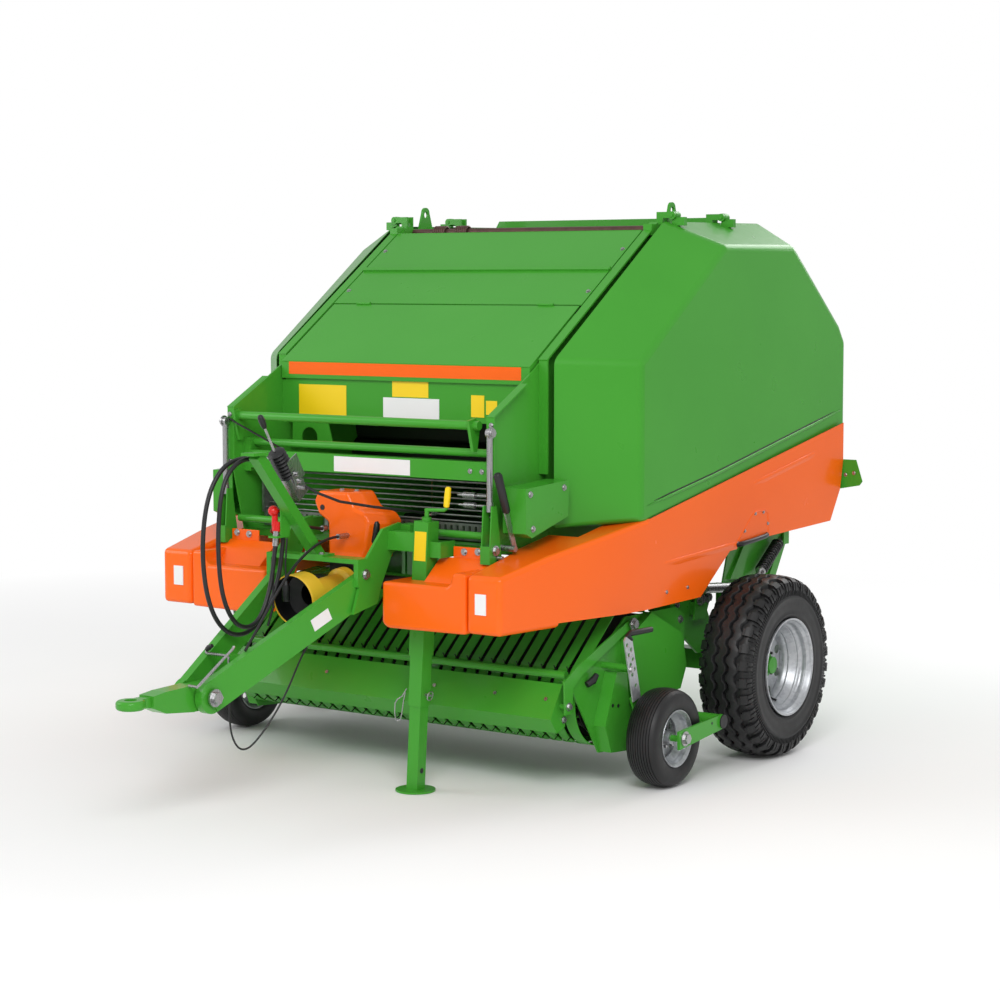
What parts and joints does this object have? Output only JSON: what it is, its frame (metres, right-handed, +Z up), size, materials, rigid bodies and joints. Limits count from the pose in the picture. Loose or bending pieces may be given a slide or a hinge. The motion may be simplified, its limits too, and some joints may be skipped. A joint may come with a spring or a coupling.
{
  "type": "round baler",
  "caption": "Towed round baler in green with orange side mouldings: V drawbar, pickup on gauge wheels, round chamber with lifting rear door, gull-wing side covers and parking jack.",
  "frame": {"origin": "on the ground under the middle of the machine's box, with the machine parked on its wheels and jack", "axes": "+Z up, -Y forward to the tow eye, +X to the machine's left side"},
  "size_m": [2.666, 4.1499, 2.5059],
  "materials": {
    "green_paint": "bright grass green gloss paint",
    "orange_plastic": "vivid orange moulded plastic, glossy",
    "galvanised_steel": "silver zinc coating, satin",
    "bare_steel": "bright turned steel",
    "tyre": "black tread rubber",
    "black_plastic": "black moulded plastic",
    "yellow_plastic": "yellow moulded plastic with a black inside",
    "red_plastic": "red dust caps",
    "black_rubber": "black hose and cable covering",
    "dark_paint": "dark oily iron and steel"
  },
  "bodies": {
    "chassis": {"axle": "green_paint", "brake_lever": "bare_steel", "cable_glands": "bare_steel", "cable_loop": "black_rubber", "cable_spiral": "black_rubber", "chamber_front": "green_paint", "control_valve": "black_plastic", "coupler_caps": "red_plastic", "drawbar": "green_paint", "drive_covers": "green_paint", "front_fenders": "orange_plastic", "front_frame": "green_paint", "front_panel": "green_paint", "gearbox": "dark_paint", "gearbox_cover": "orange_plastic", "grille": "dark_paint", "hood": "green_paint", "hose_couplers": "bare_steel", "hose_inner": "black_rubber", "hose_outer": "black_rubber", "hose_stand": "green_paint", "jack_crank": "galvanised_steel", "jack_tube": "green_paint", "lift_cylinders": "bare_steel", "pto_guard": "yellow_plastic", "side_frame_left": "green_paint", "side_frame_right": "green_paint", "side_springs": "bare_steel", "tongue": "green_paint", "top_shaft": "dark_paint", "wheel_hangers": "green_paint"},
    "main_wheel_left": {"tyre_left": "tyre", "rim_left": "galvanised_steel", "hub_left": "green_paint"},
    "main_wheel_right": {"tyre_right": "tyre", "rim_right": "galvanised_steel", "hub_right": "green_paint"},
    "pickup": {"pickup_frame": "green_paint", "pickup_housings": "green_paint", "pickup_back": "dark_paint", "pickup_bands": "green_paint", "gauge_arms": "green_paint", "gauge_adjusters": "galvanised_steel"},
    "pickup_reel": {"pickup_reel": "dark_paint"},
    "gauge_wheel_left": {"gauge_tyre_left": "tyre", "gauge_rim_left": "galvanised_steel"},
    "gauge_wheel_right": {"gauge_tyre_right": "tyre", "gauge_rim_right": "galvanised_steel"},
    "wind_guard": {"wind_guard": "green_paint"},
    "tailgate": {"tailgate": "green_paint"},
    "hood_lid": {"hood_lid": "green_paint"},
    "side_cover_left": {"side_cover_left": "green_paint", "side_skirt_left": "orange_plastic", "skirt_handle_left": "black_plastic", "lamp_plate_left": "green_paint"},
    "side_cover_right": {"side_cover_right": "green_paint", "side_skirt_right": "orange_plastic", "skirt_handle_right": "black_plastic", "lamp_plate_right": "green_paint"},
    "jack_leg": {"jack_leg": "green_paint"}
  },
  "joints": [
    {"name": "main_wheel_left_spin", "type": "hinge", "parent": "chassis", "child": "main_wheel_left", "pos_m": [1.2, 0.83, 0.411], "axis": [1, 0, 0], "continuous": true},
    {"name": "main_wheel_right_spin", "type": "hinge", "parent": "chassis", "child": "main_wheel_right", "pos_m": [-1.2, 0.83, 0.411], "axis": [1, 0, 0], "continuous": true},
    {"name": "pickup_lift", "type": "hinge", "parent": "chassis", "child": "pickup", "pos_m": [0, 0.47, 0.64], "axis": [-1, 0, 0], "range_deg": [0, 10]},
    {"name": "pickup_reel_spin", "type": "hinge", "parent": "pickup", "child": "pickup_reel", "pos_m": [0, -0.15, 0.37], "axis": [1, 0, 0], "continuous": true},
    {"name": "gauge_wheel_left_spin", "type": "hinge", "parent": "pickup", "child": "gauge_wheel_left", "pos_m": [1.179, -0.017, 0.211], "axis": [1, 0, 0], "continuous": true},
    {"name": "gauge_wheel_right_spin", "type": "hinge", "parent": "pickup", "child": "gauge_wheel_right", "pos_m": [-1.179, -0.017, 0.211], "axis": [1, 0, 0], "continuous": true},
    {"name": "wind_guard_tilt", "type": "hinge", "parent": "pickup", "child": "wind_guard", "pos_m": [0, 0.047, 0.672], "axis": [-1, 0, 0], "range_deg": [0, 25]},
    {"name": "tailgate_lift", "type": "hinge", "parent": "chassis", "child": "tailgate", "pos_m": [0, 0.84, 2.388], "axis": [1, 0, 0], "range_deg": [0, 55]},
    {"name": "hood_lid_lift", "type": "hinge", "parent": "chassis", "child": "hood_lid", "pos_m": [0, 0.0687, 2.0435], "axis": [-1, 0, 0], "range_deg": [0, 60]},
    {"name": "side_cover_left_lift", "type": "hinge", "parent": "chassis", "child": "side_cover_left", "pos_m": [0.792, 0.9125, 2.442], "axis": [0, -1, 0], "range_deg": [0, 50]},
    {"name": "side_cover_right_lift", "type": "hinge", "parent": "chassis", "child": "side_cover_right", "pos_m": [-0.792, 0.9125, 2.442], "axis": [0, 1, 0], "range_deg": [0, 50]},
    {"name": "jack_leg_slide", "type": "slide", "parent": "chassis", "child": "jack_leg", "axis": [0.0547, 0, 0.9985], "range_m": [0, 0.3]}
  ]
}
